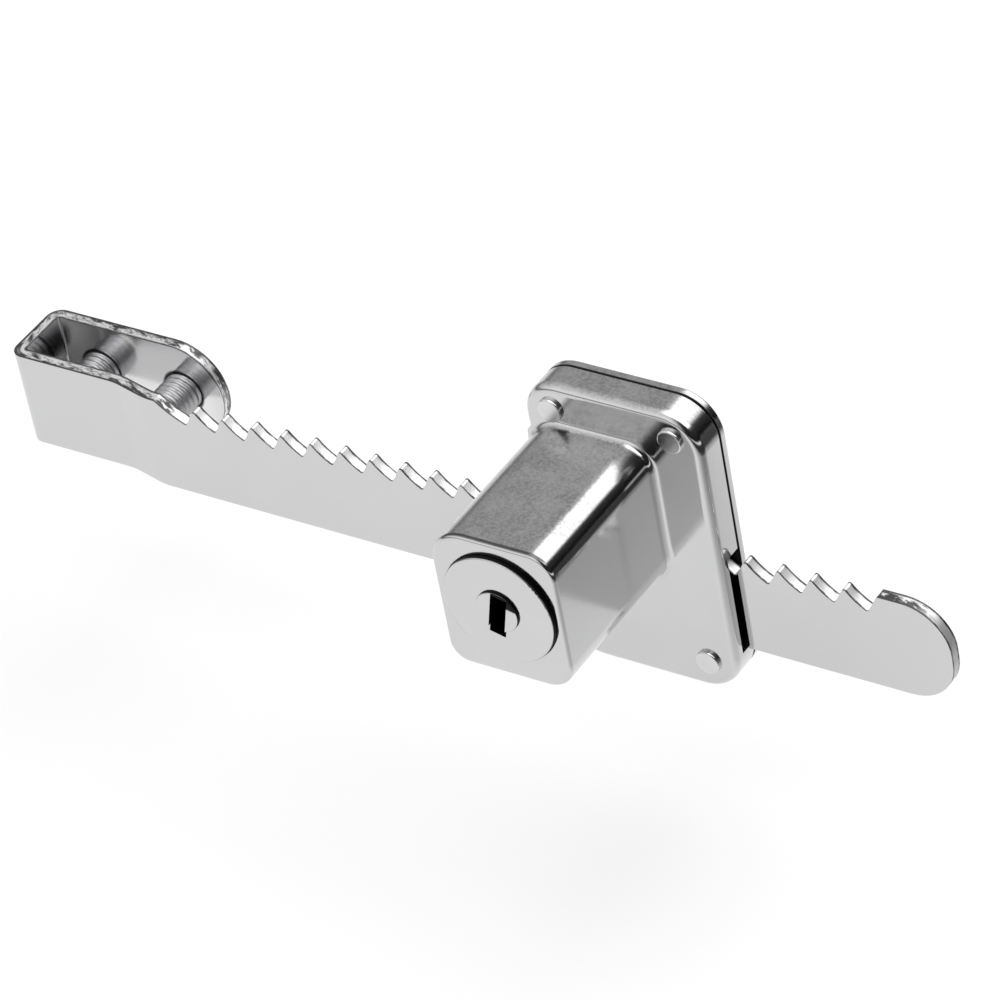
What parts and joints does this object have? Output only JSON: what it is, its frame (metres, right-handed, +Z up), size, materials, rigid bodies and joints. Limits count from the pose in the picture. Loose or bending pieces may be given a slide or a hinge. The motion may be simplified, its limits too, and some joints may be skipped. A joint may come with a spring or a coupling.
{
  "type": "display case lock",
  "caption": "Keyed lock on a saw-toothed ratchet bar whose hooked end clamps the edge of a sliding glass door, for a display case.",
  "frame": {"origin": "middle of the glass channel inside the hook, where the edge of the glass seats against the inner face of the web, at half the height of the bar", "axes": "+X runs along the bar from the hook to the free end, +Y points away from the person who turns the key, +Z is up"},
  "size_m": [0.1247, 0.0356, 0.0377],
  "materials": {
    "bar_chrome": "bright plated strip",
    "housing_chrome": "bright plated die casting",
    "cover_chrome": "bright plated plate",
    "plug_nickel": "bright plated, turned face",
    "rivet_chrome": "bright plated",
    "screw_steel": "zinc plated",
    "pad_nylon": "natural",
    "spring_steel": "drawn wire and strip",
    "pawl_steel": "stamped, oiled",
    "wafer_brass": "stamped"
  },
  "bodies": {
    "bar": {"ratchet_bar": "bar_chrome"},
    "lock_body": {"lock_housing": "housing_chrome", "rear_cover": "cover_chrome", "rivet_1": "rivet_chrome", "rivet_2": "rivet_chrome", "rivet_3": "rivet_chrome", "rivet_4": "rivet_chrome", "pawl_spring": "spring_steel"},
    "plug": {"lock_plug": "plug_nickel", "plug_clip": "spring_steel", "wafer_spring_1": "spring_steel", "wafer_spring_2": "spring_steel", "wafer_spring_3": "spring_steel", "wafer_spring_4": "spring_steel", "wafer_spring_5": "spring_steel"},
    "pawl": {"pawl": "pawl_steel"},
    "wafer_1": {"wafer_1": "wafer_brass"},
    "wafer_2": {"wafer_2": "wafer_brass"},
    "wafer_3": {"wafer_3": "wafer_brass"},
    "wafer_4": {"wafer_4": "wafer_brass"},
    "wafer_5": {"wafer_5": "wafer_brass"},
    "screw_pad_1": {"screw_pad_1": "pad_nylon"},
    "set_screw_1": {"set_screw_1": "screw_steel"},
    "screw_pad_2": {"screw_pad_2": "pad_nylon"},
    "set_screw_2": {"set_screw_2": "screw_steel"}
  },
  "joints": [
    {"name": "body_slide", "type": "slide", "parent": "bar", "child": "lock_body", "axis": [1, 0, 0], "range_m": [-0.05265, 0.0486]},
    {"name": "plug_turn", "type": "hinge", "parent": "lock_body", "child": "plug", "pos_m": [0.08285, -0.02895, 0.0125], "axis": [0, 1, 0], "range_deg": [0, 90]},
    {"name": "pawl_drop", "type": "slide", "parent": "lock_body", "child": "pawl", "axis": [0, 0, 1], "range_m": [-0.00255, 0], "deforming": ["pawl_spring"]},
    {"name": "wafer_1_slide", "type": "slide", "parent": "plug", "child": "wafer_1", "axis": [0.225, 0, 0.9744], "range_m": [0, 0.0008]},
    {"name": "wafer_2_slide", "type": "slide", "parent": "plug", "child": "wafer_2", "axis": [0.225, 0, 0.9744], "range_m": [0, 0.0008]},
    {"name": "wafer_3_slide", "type": "slide", "parent": "plug", "child": "wafer_3", "axis": [0.225, 0, 0.9744], "range_m": [0, 0.0008]},
    {"name": "wafer_4_slide", "type": "slide", "parent": "plug", "child": "wafer_4", "axis": [0.225, 0, 0.9744], "range_m": [0, 0.0008]},
    {"name": "wafer_5_slide", "type": "slide", "parent": "plug", "child": "wafer_5", "axis": [0.225, 0, 0.9744], "range_m": [0, 0.0008]},
    {"name": "screw_pad_1_travel", "type": "slide", "parent": "bar", "child": "screw_pad_1", "axis": [0, -1, 0], "range_m": [-0.0048, 0.0015]},
    {"name": "set_screw_1_turn", "type": "hinge", "parent": "screw_pad_1", "child": "set_screw_1", "pos_m": [0.0049, 0, 0], "axis": [0, -1, 0], "range_deg": [-2160.01, 675.01]},
    {"name": "screw_pad_2_travel", "type": "slide", "parent": "bar", "child": "screw_pad_2", "axis": [0, -1, 0], "range_m": [-0.0048, 0.0015]},
    {"name": "set_screw_2_turn", "type": "hinge", "parent": "screw_pad_2", "child": "set_screw_2", "pos_m": [0.0167, 0, 0], "axis": [0, -1, 0], "range_deg": [-2160.01, 675.01]}
  ],
  "couplings": [
    {"joint": "pawl_drop", "follows": "plug_turn", "m_per_rad": -0.0016206},
    {"joint": "set_screw_1_turn", "follows": "screw_pad_1_travel", "rad_per_m": 7854},
    {"joint": "set_screw_2_turn", "follows": "screw_pad_2_travel", "rad_per_m": 7854}
  ]
}
